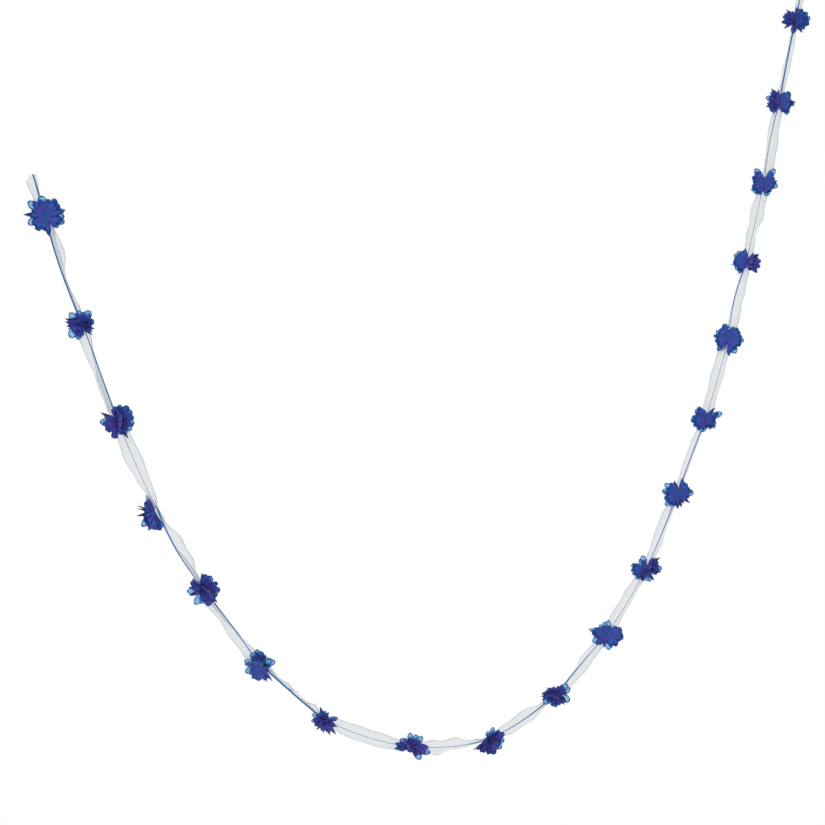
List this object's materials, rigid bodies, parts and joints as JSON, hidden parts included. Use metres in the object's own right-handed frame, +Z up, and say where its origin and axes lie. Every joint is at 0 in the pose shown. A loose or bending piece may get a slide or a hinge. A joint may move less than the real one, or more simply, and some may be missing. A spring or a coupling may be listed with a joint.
{
  "type": "fabric flower garland",
  "caption": "Swagged garland of scalloped sheer-fabric blooms sewn along a thread on a sheer ribbon, with a plain folded tail at each end to pin up.",
  "frame": {"origin": "middle of the flat back face of the left tail, where the garland is pinned up", "axes": "+X from the left end towards the right end, +Z up, -Y the side the blooms are sewn on"},
  "size_m": [0.9777, 0.0362, 0.9235],
  "materials": {
    "ribbon": "sheer white organza",
    "thread": "twisted blue thread",
    "bloom": "sheer royal blue chiffon"
  },
  "bodies": {
    "root": {"ribbon": "ribbon", "thread": "thread", "bloom_01": "bloom", "bloom_02": "bloom", "bloom_03": "bloom", "bloom_04": "bloom", "bloom_05": "bloom", "bloom_06": "bloom", "bloom_07": "bloom", "bloom_08": "bloom", "bloom_09": "bloom", "bloom_10": "bloom", "bloom_11": "bloom", "bloom_12": "bloom", "bloom_13": "bloom", "bloom_14": "bloom", "bloom_15": "bloom", "bloom_16": "bloom", "bloom_17": "bloom", "bloom_18": "bloom", "bloom_19": "bloom"}
  },
  "joints": []
}
